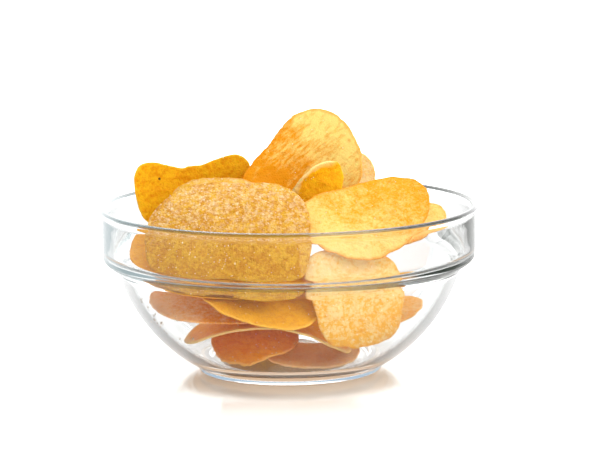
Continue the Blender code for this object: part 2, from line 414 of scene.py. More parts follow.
def relief_group() -> bpy.types.NodeTree:
    """Node group: height of the fine fried skin, in millimetres.

    Returns:
        The group.
    """
    shade, given, result = new_group("fried_relief", {
        "Place": ("Vector", None),
        "Pits": ("Float", 1.0),
        "Blister": ("Float", 0.0),
    }, {"Height": "Float"})
    take = given.outputs
    coarse = shade.noise(take["Place"], 0.55, 3.0, 0.6)
    fine = shade.noise(take["Place"], 1.7, 4.0, 0.65)
    cells = shade.node("TexVoronoi", {"Vector": take["Place"], "Scale": 1.25}).outputs["Distance"]
    pits = shade.maths("MULTIPLY", shade.ramp(cells, 0.1, 0.6), take["Pits"])
    height = shade.maths("MULTIPLY_ADD", coarse, 0.6, shade.maths("MULTIPLY", fine, 0.3))
    height = shade.maths("ADD", height, shade.maths("MULTIPLY", pits, 0.16))
    swell = shade.maths("MULTIPLY", take["Blister"], 0.15)
    shade.feed(result.inputs["Height"], shade.maths("ADD", height, swell))
    return shade.tree


# ---------------------------------------------------------------------------------------
# Finishes
# ---------------------------------------------------------------------------------------


class Tone(Enum):
    """How far a crisp has cooked: its pale and its deep colour."""

    CREAM = ((0.80, 0.56, 0.22), (0.76, 0.36, 0.03))
    BUTTER = ((0.88, 0.72, 0.36), (0.80, 0.50, 0.10))
    PEACH = ((0.95, 0.66, 0.38), (0.92, 0.54, 0.22))
    BLUSH = ((0.90, 0.56, 0.28), (0.82, 0.29, 0.006))
    YELLOW = ((0.85, 0.66, 0.19), (0.71, 0.27, 0.001))
    SUN = ((0.84, 0.54, 0.15), (0.78, 0.31, 0.006))
    GOLD = ((0.85, 0.45, 0.008), (0.74, 0.285, 0.001))
    HONEY = ((0.62, 0.33, 0.018), (0.47, 0.185, 0.003))
    AMBER = ((0.78, 0.36, 0.012), (0.66, 0.24, 0.003))
    RUST = ((0.92, 0.40, 0.03), (0.82, 0.27, 0.004))

    @property
    def pale(self) -> Colour:
        """Colour of the least cooked patches."""
        return self.value[0]

    @property
    def deep(self) -> Colour:
        """Colour of the most cooked patches."""
        return self.value[1]


@dataclass(frozen=True)
class FriedFinish:
    """The finish of one crisp.

    lean and fall say how much deeper the colour gets for each millimetre to the right and
    upwards; on some crisps this is painted shade on one side and a painted highlight on the
    other. stretch and turn draw the patches out into streaks at an angle in degrees. The sheen
    fields paint a highlight of whitish flecks and haze, none below the first of their heights
    on the slice and full above the second. The rim has a browned line, or a line in the colour
    given as edge, which on some crisps is a pale painted highlight kept to the side that faces
    the light.
    """

    tone: Tone = Tone.GOLD
    share: float = 0.5
    # lean and fall: on some crisps painted shade on one side, a painted highlight on the other
    lean: float = 0.0
    fall: float = 0.0
    stretch: float = 1.0
    turn: float = 0.0
    grain: float = 0.5
    # painted highlight: a whitish sheen of flecks and haze over the upper part of the slice
    painted_sheen: float = 0.0
    painted_sheen_at: tuple[float, float] = (0.0, 99.0)
    painted_sheen_colour: Colour = (0.80, 0.63, 0.38)
    freckles: float = 0.15
    freckle_strength: float = 0.6
    rim: float = 0.5
    gloss: float = 0.1
    rough: float = 0.55
    pits: float = 1.0
    depth: float = 0.55  # of the fine relief, in millimetres
    browned: Colour = (0.95, 0.78, 0.6)  # the browned colour as a share of the deep one
    # edge: on some crisps a pale colour, which is a painted highlight along the rim
    edge: Colour | None = None  # the rim's colour, if it is not a browned one
    edge_width: float = 1.1
    # painted highlight: the side of the slice, towards the light, that a pale edge keeps to
    painted_highlight_side: tuple[float, float] | None = None  # the side of the slice it keeps to
    painted_highlight_fade: tuple[float, float] = (-1.0, 3.0)  # where it starts and is full on that side
    spot: tuple[float, float, float] | None = None  # place and radius of a burnt spot
    burnt: Colour = (0.12, 0.05, 0.01)
    scatter: Colour = (1.0, 0.45, 0.12)  # how far each colour of light spreads in the slice
    scatter_weight: float = 0.2
    scatter_mm: float = 0.8

    def material(self, name: str, groups: Groups, seed: int) -> bpy.types.Material:
        """Builds the material.

        Args:
            name: Name of the material.
            groups: The shared node groups, by name.
            seed: Moves the patterns, so that no two crisps look alike.

        Returns:
            The material.
        """
        material = bpy.data.materials.new(name)
        material.use_nodes = True
        shade = Shade(material.node_tree)
        skin = material.node_tree.nodes["Principled BSDF"]
        flat = shade.node("Attribute", attribute_name=SLICE).outputs["Vector"]
        place = shade.node("VectorMath", {0: flat, 1: (0.0, 0.0, PATTERN_STEP * seed)},
                           operation="ADD").outputs[0]
        rim = shade.node("Attribute", attribute_name=RIM).outputs["Fac"]
        blister = shade.node("Attribute", attribute_name=BLISTER).outputs["Fac"]
        shade.feed(skin.inputs["Base Color"], self.colour(shade, flat, place, rim, groups))
        height = shade.group(groups["relief"], place=place, pits=self.pits,
                             blister=blister).outputs["Height"]
        bump = shade.node("Bump", {"Height": height, "Distance": self.depth * MM, "Strength": 1.0})
        shade.feed(skin.inputs["Normal"], bump.outputs["Normal"])
        shade.feed(skin.inputs["Roughness"],
                   shade.ramp(shade.noise(place, 0.25), 0.35, 0.65,
                              self.rough - 0.08, self.rough + 0.1))
        skin.inputs["Specular IOR Level"].default_value = self.gloss
        skin.inputs["Subsurface Weight"].default_value = self.scatter_weight
        skin.inputs["Subsurface Radius"].default_value = self.scatter
        skin.inputs["Subsurface Scale"].default_value = self.scatter_mm * MM
        return material

    def colour(self, shade: Shade, flat: Socket, place: Socket, rim: Socket,
               groups: Groups) -> Socket:
        """Colour of the skin with its freckles, frosting, rim and spot.

        Args:
            shade: The material's tree.
            flat: Place on the slice.
            place: Place in the patterns.
            rim: Distance to the slice's edge.
            groups: The shared node groups, by name.

        Returns:
            The colour's socket.
        """
        colour = shade.group(groups["cooked"], place=place, pale=rgba(self.tone.pale),
                             deep=rgba(self.tone.deep), share=self.share, lean=self.lean,
                             fall=self.fall, stretch=self.stretch, turn=math.radians(self.turn),
                             grain=self.grain).outputs["Colour"]
        browned = tuple(c * k for c, k in zip(self.tone.deep, self.browned))
        freckles = shade.group(groups["freckles"], place=place, per_mm=0.33, radius=0.42,
                               amount=self.freckles).outputs["Mask"]
        colour = shade.mix(shade.maths("MULTIPLY", freckles, self.freckle_strength), colour,
                           rgba(browned))
        # painted highlight: whitish sheen flecks and haze over the upper part
        if self.painted_sheen:
            colour = shade.mix(self.painted_sheen_mask(shade, flat, place, groups), colour,
                               rgba(self.painted_sheen_colour))
        strength = self.rim
        # a pale edge kept to one side is a painted highlight along the lit lip
        if self.painted_highlight_side:
            toward = shade.node("VectorMath", {0: flat, 1: (*self.painted_highlight_side, 0.0)},
                                operation="DOT_PRODUCT").outputs["Value"]
            strength = shade.ramp(toward, *self.painted_highlight_fade, 0.0, self.rim)
        colour = shade.group(groups["browning"], colour=colour, place=place, distance=rim,
                             brown=rgba(self.edge or browned), width=self.edge_width,
                             strength=strength).outputs["Colour"]
        if self.spot:
            u, v, radius = self.spot
            away = shade.node("VectorMath", {0: flat, 1: (u, v, 0.0)},
                              operation="DISTANCE").outputs["Value"]
            colour = shade.mix(shade.ramp(away, radius, 0.4 * radius), colour, rgba(self.burnt))
        return colour

    def painted_sheen_mask(self, shade: Shade, flat: Socket, place: Socket, groups: Groups) -> Socket:
        """Mask of a painted sheen highlight: whitish flecks and haze over the upper part of the
        slice.

        Args:
            shade: The material's tree.
            flat: Place on the slice.
            place: Place in the patterns.
            groups: The shared node groups, by name.

        Returns:
            The mask's socket.
        """
        flecks = shade.group(groups["freckles"], place=place, per_mm=0.85, radius=0.55,
                             amount=0.75).outputs["Mask"]
        haze = shade.ramp(shade.noise(place, 0.45, 4.0, 0.7), 0.42, 0.68)
        where = shade.ramp(shade.parts(flat)[1], *self.painted_sheen_at)
        both = shade.maths("ADD", shade.maths("MULTIPLY", flecks, 0.6),
                           shade.maths("MULTIPLY", haze, 0.5), clamp=True)
        return shade.maths("MULTIPLY", shade.maths("MULTIPLY", both, where), self.painted_sheen)


@dataclass(frozen=True)
class ClearGlass:
    """Pressed clear glass that lets lamp light through, with faint ripples.

    Light that would rattle about inside for longer than it is followed comes out as a painted
    glow: warm at the foot and crossed there by white painted highlight lines, bluish to the left
    of the band and rim, nearly black to the right.
    """

    tint: Colour = (0.985, 0.993, 0.99)
    index: float = 1.5
    ripple_mm: float = 0.012
    ripple_scale: float = 70.0  # ripples for each metre
    smear_scale: float = 160.0
    smear_rough: float = 0.05
    shadow: Colour = (0.985, 0.985, 0.98)  # what a lamp's light keeps head on
    shadow_edge: Colour = (0.72, 0.72, 0.71)  # and where it grazes the glass
    # painted glow colours: warm at the foot, bluish and nearly black higher up
    foot_glow: Colour = (0.42, 0.29, 0.19)
    # white painted highlight lines across the foot's glow
    foot_highlight_lines: tuple[tuple[float, float], ...] = ((1.5, 0.55), (3.9, 0.3))
    left_glow: Colour = (0.19, 0.235, 0.245)
    middle_glow: Colour = (0.24, 0.31, 0.38)
    right_glow: Colour = (0.015, 0.02, 0.015)
    foot_top: float = 16.0  # height at which the foot's glow has given way
    # edge tint: partly the glass's own colour seen edge on, darker to the right as painted shade
    left_edge_shade: Colour = (0.24, 0.30, 0.31)
    middle_edge_shade: Colour = (0.40, 0.49, 0.56)
    right_edge_shade: Colour = (0.06, 0.065, 0.06)
    left_span: tuple[float, float] = (-10.0, -60.0)  # where the left's colours take over
    glow_span: tuple[float, float] = (5.0, 45.0)  # where the right's glow takes over
    edge_shade_span: tuple[float, float] = (0.0, 50.0)  # and the right's edge tint
    rim_edge: float = 61.6  # above this height light has a long way through the rim
    band_edge: tuple[float, float] = (41.4, 43.3)  # so it has between these, below the band
    band_edge_right: float = 39.9  # where that starts to the right
    band_radius: float = 65.6
    fade: float = 0.3  # over which the band's tint comes and goes
    longest_glossy: float = 3.5
    longest: float = 10.5

    def material(self, name: str) -> bpy.types.Material:
        """Builds the material.

        Args:
            name: Name of the material.

        Returns:
            The material.
        """
        material = bpy.data.materials.new(name)
        material.use_nodes = True
        shade = Shade(material.node_tree)
        glass = material.node_tree.nodes["Principled BSDF"]
        out = material.node_tree.nodes["Material Output"]
        glass.inputs["Transmission Weight"].default_value = 1.0
        glass.inputs["Metallic"].default_value = 0.0
        glass.inputs["IOR"].default_value = self.index
        where = shade.node("TexCoord").outputs["Object"]
        path = shade.node("LightPath")
        shade.feed(glass.inputs["Base Color"], self.edge_tint_and_shade(shade, where))
        smears = shade.noise(where, self.smear_scale, 4.0, 0.7)
        shade.feed(glass.inputs["Roughness"],
                   shade.ramp(smears, 0.55, 0.8, 0.0, self.smear_rough))
        bump = shade.node("Bump", {"Height": shade.noise(where, self.ripple_scale, 1.0),
                                   "Distance": self.ripple_mm * MM, "Strength": 1.0})
        shade.feed(glass.inputs["Normal"], bump.outputs["Normal"])
        trapped = shade.maths(
            "MAXIMUM",
            shade.maths("GREATER_THAN", path.outputs["Glossy Depth"], self.longest_glossy),
            shade.maths("GREATER_THAN", path.outputs["Ray Depth"], self.longest))
        shade.feed(glass.inputs["Emission Color"],
                   shade.mix(trapped, rgba((0.0, 0.0, 0.0)), self.glow(shade, where)))
        glass.inputs["Emission Strength"].default_value = 1.0
        grazing = shade.node("LayerWeight", {"Blend": 0.35}).outputs["Facing"]
        shadow = shade.mix(shade.maths("POWER", grazing, 2.0), rgba(self.shadow),
                           rgba(self.shadow_edge))
        clear = shade.node("BsdfTransparent", {"Color": shadow})
        both = shade.node("MixShader", {0: path.outputs["Is Shadow Ray"], 1: glass.outputs[0],
                                        2: clear.outputs[0]})
        shade.feed(out.inputs["Surface"], both.outputs[0])
        return material

    def by_side(self, shade: Shade, x: Socket, colours: tuple[Colour, Colour, Colour],
                right_span: tuple[float, float]) -> Socket:
        """A colour that changes from left to right.

        Args:
            shade: The material's tree.
            x: Place to the right, in metres.
            colours: The left, middle and right colour.
            right_span: Where the right colour takes over, in millimetres.

        Returns:
            The colour's socket.
        """
        left, middle, right = (rgba(colour) for colour in colours)
        leftness = shade.ramp(x, *(edge * MM for edge in self.left_span))
        rightness = shade.ramp(x, *(edge * MM for edge in right_span))
        return shade.mix(rightness, shade.mix(leftness, middle, left), right)

    def edge_tint_and_shade(self, shade: Shade, where: Socket) -> Socket:
        """The tint, deeper along the rim and below the band where the glass is seen edge on, and
        darker to the right as painted shade.

        Args:
            shade: The material's tree.
            where: Place on the bowl, in metres.

        Returns:
            The colour's socket.
        """
        x, y, height = shade.parts(where)
        # darker to the right: painted shade
        deep = self.by_side(shade, x, (self.left_edge_shade, self.middle_edge_shade, self.right_edge_shade),
                            self.edge_shade_span)
        start, end = (z * MM for z in self.band_edge)
        fade = self.fade * MM
        start = shade.ramp(x, 0.0, 60 * MM, start, self.band_edge_right * MM)
        level = shade.node("CombineXYZ", {0: x, 1: y}).outputs[0]
        radius = shade.node("VectorMath", {0: level}, operation="LENGTH").outputs["Value"]
        outward = shade.ramp(radius, self.band_radius * MM, (self.band_radius + 0.4) * MM)
        band = shade.ramp(height, start, shade.maths("ADD", start, fade))
        band = shade.maths("MULTIPLY", band, shade.ramp(height, end, end - fade))
        band = shade.maths("MULTIPLY", band, outward)
        rim = shade.ramp(height, self.rim_edge * MM, (self.rim_edge + 0.5) * MM)
        return shade.mix(shade.maths("MAXIMUM", band, rim), rgba(self.tint), deep)

    def glow(self, shade: Shade, where: Socket) -> Socket:
        """Colour of the light that comes out late, by place on the bowl.

        Args:
            shade: The material's tree.
            where: Place on the bowl, in metres.

        Returns:
            The colour's socket.
        """
        x, _, height = shade.parts(where)
        upper = self.by_side(shade, x, (self.left_glow, self.middle_glow, self.right_glow),
                             self.glow_span)
        foot = rgba(self.foot_glow)
        # white painted highlight lines across the foot's glow
        for line, half in self.foot_highlight_lines:
            off = shade.maths("ABSOLUTE", shade.maths("SUBTRACT", height, line * MM))
            foot = shade.mix(shade.ramp(off, half * MM, 0.4 * half * MM), foot,
                             rgba((1.0, 1.0, 1.0)))
        low = shade.ramp(height, self.foot_top * MM, 0.6 * self.foot_top * MM)
        return shade.mix(low, upper, foot)


@dataclass(frozen=True)
class StudioFloorFinish:
    """A smooth white table top that is lit from within away from its middle.

    Its colour as reflections see it is painted darker, standing in for black flags about the
    camera, apart from a painted bright patch to the front right that only reflections show.
    """

    colour: Colour = (0.88, 0.87, 0.855)
    # painted shadow: warm beside the foot and brown under it
    warm: Colour = (0.61, 0.54, 0.45)  # beside the foot
    under: Colour = (0.55, 0.38, 0.25)  # below the foot
    foot: float = 36.0
    warm_to: float = 85.0
    roughness: float = 0.08
    gloss: float = 0.6
    glow: float = 0.5
    bounce: float = 0.65  # added for the light that the table sheds
    glow_from: float = 70.0
    glow_to: float = 320.0
    through: float = 1.0  # added where the table is seen through glass
    through_from: float = 38.0
    through_to: float = 75.0
    # painted reflection: how much darker the table looks in reflections
    painted_reflection_dim: float = 0.3
    # painted reflection: a bright patch to the front right that only reflections see
    painted_reflector: tuple[float, float, float, float] = (30.0, 260.0, -420.0, -170.0)
    painted_reflector_level: float = 1.1
    painted_reflector_soft: float = 8.0

    def material(self, name: str) -> bpy.types.Material:
        """Builds the material.

        Args:
            name: Name of the material.

        Returns:
            The material.
        """
        material = bpy.data.materials.new(name)
        material.use_nodes = True
        shade = Shade(material.node_tree)
        top = material.node_tree.nodes["Principled BSDF"]
        where = shade.node("TexCoord").outputs["Object"]
        path = shade.node("LightPath")
        cloud = shade.noise(where, 3.0)
        away = shade.node("VectorMath", {0: where}, operation="LENGTH").outputs["Value"]
        first = shade.maths("LESS_THAN", path.outputs["Diffuse Depth"], 0.5)
        glossy = shade.maths("MULTIPLY", path.outputs["Is Glossy Ray"], first)
        through = shade.maths("MULTIPLY", path.outputs["Is Transmission Ray"], first)
        # painted reflection: the table is darker as reflections see it
        painted_dark_reflection = rgba(tuple(c * self.painted_reflection_dim for c in self.colour))
        shade.feed(top.inputs["Base Color"], shade.mix(glossy, self.lit(shade, cloud, away), painted_dark_reflection))
        rise = shade.ramp(away, self.glow_from * MM, self.glow_to * MM, 0.0, self.glow)
        near = shade.ramp(away, self.through_from * MM, self.through_to * MM, 0.0, self.through)
        rise = shade.maths("MULTIPLY_ADD", near, through, rise)
        rise = shade.maths("MULTIPLY_ADD", shade.maths("SUBTRACT", 1.0, first), self.bounce, rise)
        plain = shade.maths("MULTIPLY", rise, shade.maths("SUBTRACT", 1.0, glossy))
        # painted reflection: a bright patch that only reflections see
        card = shade.maths("MULTIPLY", self.painted_reflector_mask(shade, where), glossy)
        level = shade.maths("MULTIPLY_ADD", card, self.painted_reflector_level, plain)
        shade.feed(top.inputs["Emission Color"],
                   shade.node("CombineColor", {0: level, 1: level, 2: level}).outputs[0])
        top.inputs["Emission Strength"].default_value = 1.0
        shade.feed(top.inputs["Roughness"],
                   shade.ramp(cloud, 0.3, 0.7, self.roughness - 0.03, self.roughness + 0.03))
        top.inputs["Specular IOR Level"].default_value = self.gloss
        return material

    def lit(self, shade: Shade, cloud: Socket, away: Socket) -> Socket:
        """Colour of the table top, with a warm painted shadow beside the foot and a brown painted
        shadow under it.

        Args:
            shade: The material's tree.
            cloud: A slow variation over the top.
            away: Distance from the middle, in metres.

        Returns:
            The colour's socket.
        """
        colour = shade.mix(cloud, rgba(self.colour), rgba(tuple(c * 1.02 for c in self.colour)))
        # painted shadow beside and under the foot
        beside = shade.ramp(away, self.warm_to * MM, self.foot * MM)
        below = shade.ramp(away, self.foot * MM, 0.9 * self.foot * MM)
        return shade.mix(below, shade.mix(beside, colour, rgba(self.warm)), rgba(self.under))

    def painted_reflector_mask(self, shade: Shade, where: Socket) -> Socket:
        """1 inside the painted bright patch that reflections show, fading over a few millimetres.

        Args:
            shade: The material's tree.
            where: Place on the table, in metres.

        Returns:
            The mask's socket.
        """
        x, y, _ = shade.parts(where)
        x0, x1, y0, y1 = (edge * MM for edge in self.painted_reflector)
        soft = self.painted_reflector_soft * MM
        mask = 1.0
        for place, edge, inward in ((x, x0, soft), (x, x1, -soft), (y, y0, soft), (y, y1, -soft)):
            mask = shade.maths("MULTIPLY", mask, shade.ramp(place, edge, edge + inward))
        return mask


@dataclass(frozen=True)
class GrainFinish:
    """Salt or crumbs: small dry bits with a little variation between them."""

    first: Colour
    second: Colour
    roughness: float
    scale: float = 900.0  # changes of colour for each metre

    def material(self, name: str) -> bpy.types.Material:
        """Builds the material.

        Args:
            name: Name of the material.

        Returns:
            The material.
        """
        material = bpy.data.materials.new(name)
        material.use_nodes = True
        shade = Shade(material.node_tree)
        grain = material.node_tree.nodes["Principled BSDF"]
        vary = shade.noise(shade.node("TexCoord").outputs["Object"], self.scale)
        shade.feed(grain.inputs["Base Color"],
                   shade.mix(vary, rgba(self.first), rgba(self.second)))
        shade.feed(grain.inputs["Roughness"],
                   shade.ramp(vary, 0.3, 0.7, self.roughness - 0.1, self.roughness + 0.1))
        return material


# ---------------------------------------------------------------------------------------
# The crisps
# ---------------------------------------------------------------------------------------


@dataclass
class SliceGrid:
    """A CAD crisp's middle surface: a hub and rings of points around it, in millimetres."""

    node: str
    ring_count: int = 3
    merge: float = 0.00001

    def read(self) -> np.ndarray:
        """Reads the surface back from the solid.

        Returns:
            Points by ring and angle, with the hub repeated as ring 0. Angles run
            anticlockwise from the right as the side nearer the front is seen.
        """
        bm = bmesh.new()
        bm.from_mesh(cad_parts[self.node].data)
        bmesh.ops.remove_doubles(bm, verts=bm.verts, dist=self.merge)
        bm.verts.ensure_lookup_table()
        hubs = sorted(bm.verts, key=lambda v: (-len(v.link_edges), v.index))[:2]
        sides = [self.rings_about(hub) for hub in hubs]
        axes = self.axes(sides[0])
        first, second = (self.in_order(rings, axes) for rings in sides)
        bm.free()
        shift = np.argmin(np.linalg.norm(second[2] - first[2][0], axis=1))
        partner = np.roll(second, -shift, axis=1)
        return (first + partner) / 2 / MM

    def rings_about(self, hub: bmesh.types.BMVert) -> list[np.ndarray]:
        """The hub and the rings of vertices around it.

        Args:
            hub: The vertex in the middle of a side.

        Returns:
            The hub's place, then the places of each ring's vertices, in no order.
        """
        seen, front = {hub}, [hub]
        rings = [np.array([hub.co])]
        for _ in range(self.ring_count):
            ring = {e.other_vert(v) for v in front for e in v.link_edges} - seen
            seen |= ring
            front = sorted(ring, key=lambda v: v.index)
            rings.append(np.array([v.co for v in front]))
        return rings

    @staticmethod
    def axes(rings: list[np.ndarray]) -> np.ndarray:
        """Directions of the slice's best plane.

        Args:
            rings: Points of one side, ring by ring.

        Returns:
            The right, up and outward directions, one in each row.
        """
        points = np.vstack(rings)
        normal = np.linalg.svd(points - points.mean(axis=0))[2][2]
        normal *= 1.0 if normal @ (0.0, -1.0, 0.6) > 0 else -1.0
        right = np.cross((0.0, 0.0, 1.0), normal)
        right /= np.linalg.norm(right)
        return np.array([right, np.cross(normal, right), normal])

    @staticmethod
    def in_order(rings: list[np.ndarray], axes: np.ndarray) -> np.ndarray:
        """The rings with their points sorted by angle, each started at the same angle.

        Args:
            rings: Points of one side, ring by ring.
            axes: The right, up and outward directions.

        Returns:
            Points by ring and angle, with the hub repeated as ring 0.
        """
        hub = rings[0][0]
        count = len(rings[1])
        ordered = [np.repeat(rings[0], count, axis=0)]
        first = None
        for ring in rings[1:]:
            flat = (ring - hub) @ axes.T
            angle = np.arctan2(flat[:, 1], flat[:, 0])
            if first is None:
                first = angle[np.argmin(np.abs(angle))]
            turn = np.mod(angle - first + math.pi / count, 2 * math.pi)
            ordered.append(ring[np.argsort(turn)])
        return np.array(ordered)


@dataclass
class Crisp:
    """One crisp with its fine skin."""

    node: str
    finish: FriedFinish
    seed: int
    knots: tuple[float, ...] = (0.0, 0.38, 0.72, 1.0)
    angles: int = 192
    rings: int = 46
    half: float = 0.4  # half its thickness
    wave: float = 0.22  # depth of the gentle waves in the slice
    wave_size: float = 6.5
    skin: float = 0.09  # depth of the unevenness of each side
    skin_sizes: tuple[float, ...] = (2.6, 1.2)
    blisters: int = 34
    blister_radius: tuple[float, float] = (0.8, 2.4)
    blister_height: float = 0.26
    nibble: float = 0.4  # how far the edge wanders
    nibbles: tuple[tuple[float, float, float], ...] = ((6.0, 1.3, 1.0), (14.0, 1.0, 0.6))
    rim_steps: int = 7
    side_gap: float = 11.0  # how far apart the two sides lie in the patterns
    hub_inset: float = 9.0  # the hub's distance to the edge, as the materials read it
    points: np.ndarray = field(init=False)
    normals: np.ndarray = field(init=False)

    def surface(self, share: np.ndarray) -> np.ndarray:
        """The smooth middle surface.

        Args:
            share: How far out each ring lies, from 0 at the hub to 1 at the edge.

        Returns:
            Points by ring and angle.
        """
        grid = SliceGrid(self.node).read()
        count = grid.shape[1]
        lap = np.arange(-6, count + 6)
        around = spline_weights(lap.astype(float), np.arange(self.angles) * count / self.angles)
        smooth = np.einsum("ak,rkc->rac", around, grid[:, lap % count])
        across = np.array([-k for k in self.knots[:0:-1]] + list(self.knots))
        opposite = np.roll(smooth, self.angles // 2, axis=1)
        line = np.concatenate([opposite[:0:-1], smooth])
        weights = spline_weights(across, share.ravel()).reshape(*share.shape, len(across))
        return np.einsum("rak,kac->rac", weights, line)

    def section(self, outer: np.ndarray) -> tuple[np.ndarray, np.ndarray]:
        """The rings from one hub, round the rim and back to the other.

        Args:
            outer: Distance from the hub to the edge at each angle.

        Returns:
            Radius of each point by ring and angle, and each ring's place across the
            thickness, from 1 on the outward side to -1 on the other.
        """
        inner = outer - self.half
        steps = np.arange(1, self.rings + 1) / self.rings
        phi = np.linspace(90, -90, self.rim_steps + 2)[1:-1] * math.pi / 180
        flat_side = steps[:, None] * inner
        rounded = inner + self.half * np.cos(phi)[:, None]
        radii = np.concatenate([flat_side, rounded, flat_side[::-1]])
        return radii, np.concatenate([np.ones(self.rings), np.sin(phi), -np.ones(self.rings)])

    def wander(self, turn: np.ndarray) -> np.ndarray:
        """How far the edge stands out of its CAD outline at each angle."""
        uneven = Relief(self.seed + 500)
        return self.nibble * sum(weight * uneven.at(lap * np.cos(turn), lap * np.sin(turn), size)
                                 for lap, size, weight in self.nibbles)

    def blister_field(self, u: np.ndarray, v: np.ndarray, reach: float,
                      rng: np.random.Generator) -> np.ndarray:
        """How far each place stands on a blister, 0 to 1.

        Args:
            u: Places across the flattened slice.
            v: Places up the flattened slice.
            reach: Radius within which blisters lie.
            rng: Source of their places and sizes.

        Returns:
            A share for each place.
        """
        total = np.zeros_like(u)
        for _ in range(self.blisters):
            angle, out = rng.uniform(0, 2 * math.pi), reach * math.sqrt(rng.uniform(0, 0.9))
            radius = rng.uniform(*self.blister_radius)
            squash = rng.uniform(0.6, 1.0)
            du, dv = u - out * math.cos(angle), v - out * math.sin(angle)
            dome = np.maximum(0.0, 1 - (du**2 + (dv / squash) ** 2) / radius**2) ** 1.5
            total = np.maximum(total, dome * rng.uniform(0.4, 1.0))
        return total

    def build(self, groups: Groups) -> bpy.types.Object:
        """Builds the crisp and dresses it.

        Args:
            groups: The shared node groups, by name.

        Returns:
            The piece, which stands for its CAD node.
        """
        rng = np.random.default_rng(self.seed)
        turn = np.arange(self.angles) * 2 * math.pi / self.angles
        edge = self.surface(np.ones((1, self.angles)))[0]
        hub = self.surface(np.zeros((1, self.angles)))[0].mean(axis=0)
        reach = np.linalg.norm(edge - hub, axis=1)
        outer = reach + self.wander(turn)
        radii, lift = self.section(outer)
        middle = self.surface(radii / reach)
        normal = self.directions(middle)
        u, v = radii * np.cos(turn), radii * np.sin(turn)
        shift, mask = self.relief_on(u, v, lift, float(reach.mean()), rng)
        placed = middle + normal * (self.half * lift[:, None] + shift)[..., None]
        self.points, self.normals = placed[: self.rings], normal[: self.rings]
        piece = self.mesh(placed)
        far_side = np.broadcast_to(np.where(lift < 0, self.side_gap, 0.0)[:, None], u.shape)
        flat = np.stack([u, v, far_side], 2).reshape(-1, 3)
        write_attribute(piece, SLICE, np.vstack([[0.0] * 3, flat, [0.0, 0.0, self.side_gap]]))
        inset, hub_inset = (outer - radii).ravel(), [self.hub_inset]
        write_attribute(piece, RIM, np.concatenate([hub_inset, inset, hub_inset]))
        write_attribute(piece, BLISTER, np.concatenate([[0.0], mask.ravel(), [0.0]]))
        piece.data.materials.append(self.finish.material(f"{self.node}_fried", groups, self.seed))
        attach(piece, BODY)
        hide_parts(self.node)
        return piece

    def relief_on(self, u: np.ndarray, v: np.ndarray, lift: np.ndarray, reach: float,
                  rng: np.random.Generator) -> tuple[np.ndarray, np.ndarray]:
        """Shift of each point along the slice's normal, and its place on a blister.

        Args:
            u: Places across the flattened slice.
            v: Places up the flattened slice.
            lift: 1 for rings on the outward side, -1 for the other, in between on the rim.
            reach: Mean radius of the slice.
            rng: Source of the blisters.

        Returns:
            The shifts in millimetres, and the blister mask.
        """
        waves, upper, lower = (Relief(self.seed + k) for k in (100, 200, 300))
        bend = self.wave * waves.at(u, v, self.wave_size)
        sides = []
        for relief in (upper, lower):
            dome = self.blister_field(u, v, reach, rng)
            rough = self.skin * sum(relief.at(u, v, size) for size in self.skin_sizes)
            sides.append((dome, rough + self.blister_height * dome))
        above = lift[:, None] > 0
        mask = np.where(above, sides[0][0], sides[1][0]) * np.abs(lift[:, None])
        own = np.where(above, sides[0][1], -sides[1][1]) * np.abs(lift[:, None])
        return bend + own, mask

    def directions(self, middle: np.ndarray) -> np.ndarray:
        """Unit directions square to the surface, all towards the outward side.

        Args:
            middle: Points of the middle surface by ring and angle, over both sides.

        Returns:
            Directions by ring and angle. The rim and the far side repeat the near side's.
        """
        along = np.roll(middle, -1, axis=1) - np.roll(middle, 1, axis=1)
        square = np.cross(np.gradient(middle, axis=0), along)
        length = np.linalg.norm(square, axis=2, keepdims=True)
        side = (square / np.maximum(length, 1e-9))[: self.rings]
        rim = np.repeat(side[-1:], self.rim_steps, axis=0)
        return np.concatenate([side, rim, side[::-1]])

    def mesh(self, placed: np.ndarray) -> bpy.types.Object:
        """The closed mesh: a fan, the rings, and a fan on the other side.

        Args:
            placed: Points of the skin by ring and angle.

        Returns:
            The object.
        """
        rows, n = placed.shape[:2]
        points = np.vstack([placed[0].mean(axis=0), placed.reshape(-1, 3),
                            placed[-1].mean(axis=0)])
        last = len(points) - 1
        start = last - n
        faces = [(0, 1 + i, 1 + (i + 1) % n) for i in range(n)]
        faces += grid_faces(rows, n, 1)
        faces += [(last, start + (i + 1) % n, start + i) for i in range(n)]
        return make_object(f"{self.node}_fried", points, faces)


